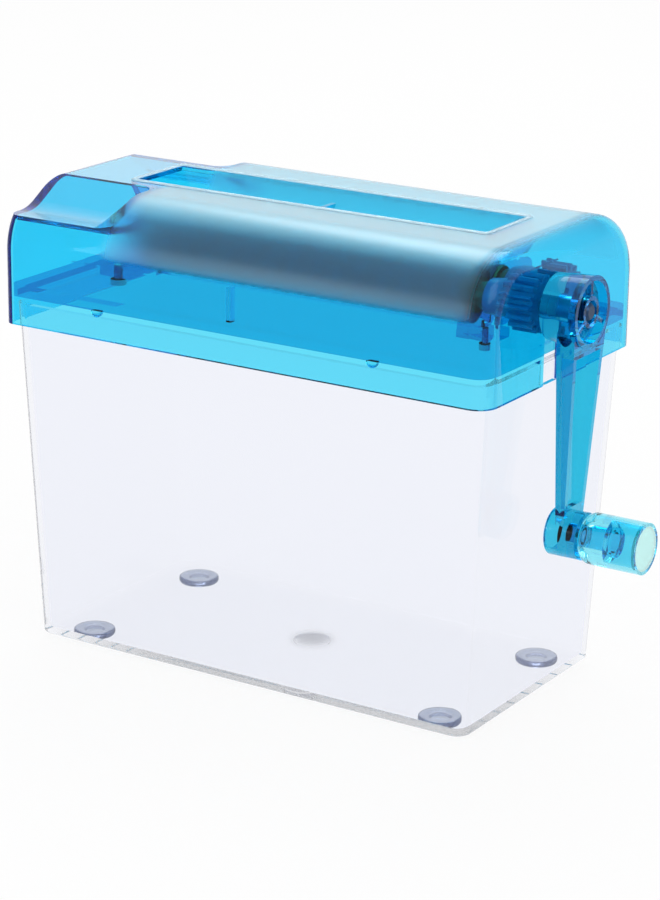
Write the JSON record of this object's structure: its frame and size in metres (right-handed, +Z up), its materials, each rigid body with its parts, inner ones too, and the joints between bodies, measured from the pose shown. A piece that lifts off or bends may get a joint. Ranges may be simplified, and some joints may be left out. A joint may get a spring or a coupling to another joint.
{
  "type": "hand-crank paper shredder",
  "caption": "Small desk paper shredder: a see-through domed head with a paper slot, cutter rollers and side crank, on a clear tapered bin that catches the strips.",
  "frame": {"origin": "on the table, under the middle of the whole object with its crank", "axes": "+Z up, -Y the front, +X towards the crank"},
  "size_m": [0.2086, 0.0932, 0.15],
  "materials": {
    "clear_plastic": "gloss, clear",
    "blue_clear_plastic": "gloss, see-through",
    "blue_plate_plastic": "gloss, see-through",
    "crank_plastic": "gloss, see-through",
    "grip_plastic": "gloss, see-through",
    "foot_rubber": "matte",
    "gear_plastic": "satin",
    "bush_bronze": "turned",
    "cutter_steel": "ground",
    "shaft_steel": "turned",
    "fastener_steel": "bright zinc"
  },
  "bodies": {
    "bin": {"collection_bin": "clear_plastic", "foot_front_left": "foot_rubber", "foot_front_right": "foot_rubber", "foot_rear_left": "foot_rubber", "foot_rear_right": "foot_rubber"},
    "head": {"top_cover": "blue_clear_plastic", "base_plate": "blue_plate_plastic", "left_bearing_plate": "blue_plate_plastic", "right_bearing_plate": "blue_plate_plastic", "front_left_bush": "bush_bronze", "front_right_bush": "bush_bronze", "rear_left_bush": "bush_bronze", "rear_right_bush": "bush_bronze", "front_stripper_comb": "blue_plate_plastic", "rear_stripper_comb": "blue_plate_plastic", "bearing_plate_screws": "fastener_steel"},
    "crank": {"front_shaft": "shaft_steel", "front_cutter_discs": "cutter_steel", "front_spacers": "shaft_steel", "drive_gear": "gear_plastic", "front_shaft_clip": "fastener_steel", "crank_arm": "crank_plastic", "crank_screw": "fastener_steel", "crank_washer": "fastener_steel", "grip_pin": "crank_plastic"},
    "rear_cutter": {"rear_shaft": "shaft_steel", "rear_cutter_discs": "cutter_steel", "rear_spacers": "shaft_steel", "driven_gear": "gear_plastic", "rear_shaft_clip": "fastener_steel", "rear_gear_clip": "fastener_steel"},
    "grip": {"crank_grip": "grip_plastic", "grip_cap": "grip_plastic"}
  },
  "joints": [
    {"name": "head_lift", "type": "slide", "parent": "bin", "child": "head", "axis": [0, 0, 1], "range_m": [0, 0.08]},
    {"name": "crank_turn", "type": "hinge", "parent": "head", "child": "crank", "pos_m": [0.0715, -0.008, 0.13], "axis": [-1, 0, 0], "continuous": true},
    {"name": "rear_cutter_turn", "type": "hinge", "parent": "head", "child": "rear_cutter", "pos_m": [-0.0143, 0.008, 0.13], "axis": [-1, 0, 0], "continuous": true},
    {"name": "grip_spin", "type": "hinge", "parent": "crank", "child": "grip", "pos_m": [0.0932, -0.008, 0.061], "axis": [1, 0, 0], "continuous": true}
  ],
  "couplings": [
    {"joint": "rear_cutter_turn", "follows": "crank_turn", "ratio": -1}
  ]
}
